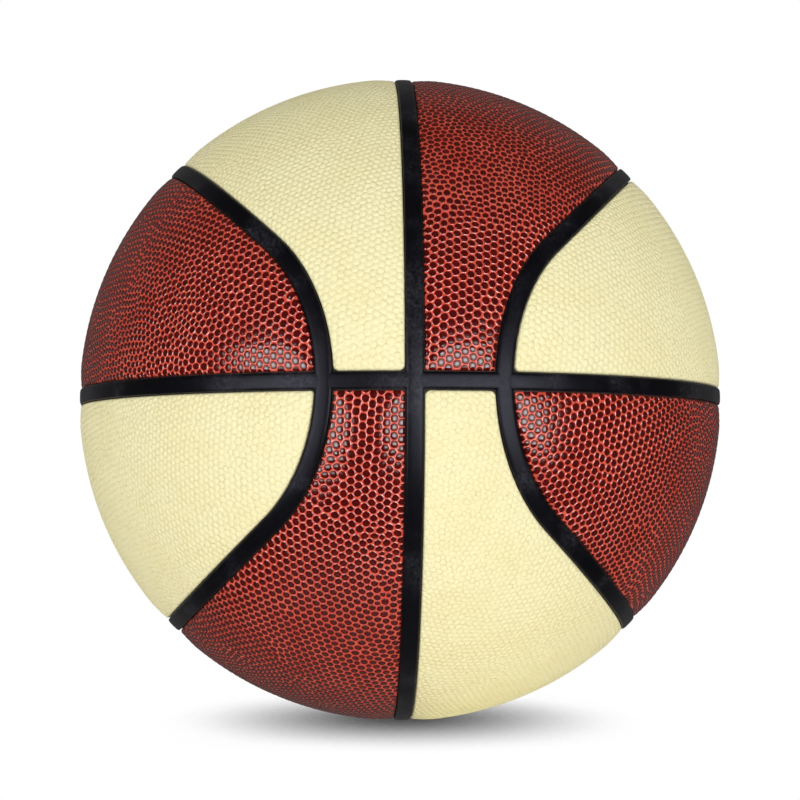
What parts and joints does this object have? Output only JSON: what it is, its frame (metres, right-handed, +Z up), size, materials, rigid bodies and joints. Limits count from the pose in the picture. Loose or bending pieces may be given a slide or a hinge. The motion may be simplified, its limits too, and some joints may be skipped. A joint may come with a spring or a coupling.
{
  "type": "basketball",
  "caption": "Inflated basketball with pebbled two-tone cover panels, crowned rubber seam strips, wound inner layers and a needle valve in the side seam.",
  "frame": {"origin": "centre of the ball", "axes": "+Z up, +X to the right; the front crossing of the two straight seams faces -Y and the valve faces -X"},
  "size_m": [0.2418, 0.2418, 0.2418],
  "materials": {
    "brown_leather": "pebbled composite leather, dark glossy tops over a red-orange ground",
    "cream_leather": "pebbled composite leather, semi-gloss",
    "seam_rubber": "satin",
    "carcass_rubber": "matt",
    "winding_yarn": "wound yarn in latex",
    "bladder_rubber": "satin",
    "valve_rubber": "matt"
  },
  "bodies": {
    "ball": {"right_side_upper_panel": "cream_leather", "right_side_lower_panel": "brown_leather", "left_side_upper_panel": "brown_leather", "left_side_lower_panel": "cream_leather", "right_band_upper_panel": "brown_leather", "right_band_lower_panel": "cream_leather", "left_band_upper_panel": "cream_leather", "left_band_lower_panel": "brown_leather", "meridian_strip": "seam_rubber", "right_loop_strip": "seam_rubber", "left_loop_strip": "seam_rubber", "right_equator_strip": "seam_rubber", "left_equator_strip": "seam_rubber", "front_right_bridge_strip": "seam_rubber", "front_left_bridge_strip": "seam_rubber", "back_right_bridge_strip": "seam_rubber", "back_left_bridge_strip": "seam_rubber", "carcass": "carcass_rubber", "winding": "winding_yarn", "bladder": "bladder_rubber", "valve_housing": "valve_rubber"},
    "valve_plug": {"valve_plug": "valve_rubber"}
  },
  "joints": [
    {"name": "plug_pull", "type": "slide", "parent": "ball", "child": "valve_plug", "axis": [-1, 0, 0], "range_m": [0, 0.03]}
  ]
}
